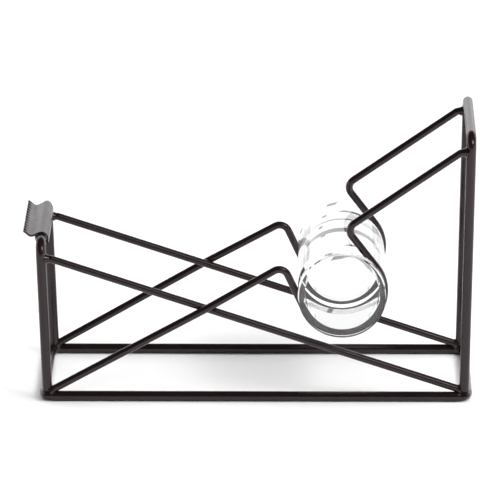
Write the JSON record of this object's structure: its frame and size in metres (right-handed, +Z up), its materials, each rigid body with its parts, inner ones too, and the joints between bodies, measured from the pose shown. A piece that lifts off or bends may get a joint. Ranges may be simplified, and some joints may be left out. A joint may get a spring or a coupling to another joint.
{
  "type": "tape dispenser",
  "caption": "Welded wire desk tape dispenser with a toothed cutter bar and a lift-out clear acrylic spool.",
  "frame": {"origin": "on the table plane, on the mid plane of the tape's width, below the front-to-back line through the cutter hoop's feet", "axes": "+X from the cutter to the tall end, +Y across the tape's width to the back, +Z up"},
  "size_m": [0.1277, 0.0464, 0.0797],
  "materials": {
    "paint": "satin black powder coat over steel wire",
    "blade_paint": "satin black powder coat over sheet steel",
    "acrylic": "polished clear acrylic"
  },
  "bodies": {
    "frame": {"base_loop": "paint", "cutter_hoop": "paint", "tall_hoop": "paint", "front_brace": "paint", "back_brace": "paint", "front_cradle": "paint", "back_cradle": "paint", "cutter_blade": "blade_paint", "cutter_hoop_foot_welds": "paint", "tall_hoop_foot_welds": "paint", "brace_top_welds": "paint", "brace_foot_welds": "paint", "cradle_top_welds": "paint", "cradle_foot_welds": "paint", "crossing_welds": "paint", "blade_welds": "paint"},
    "spool": {"spool": "acrylic"}
  },
  "joints": [
    {"name": "spool_spin", "type": "hinge", "parent": "frame", "child": "spool", "pos_m": [0.0837, 0, 0.03295], "axis": [0, 1, 0], "continuous": true}
  ]
}
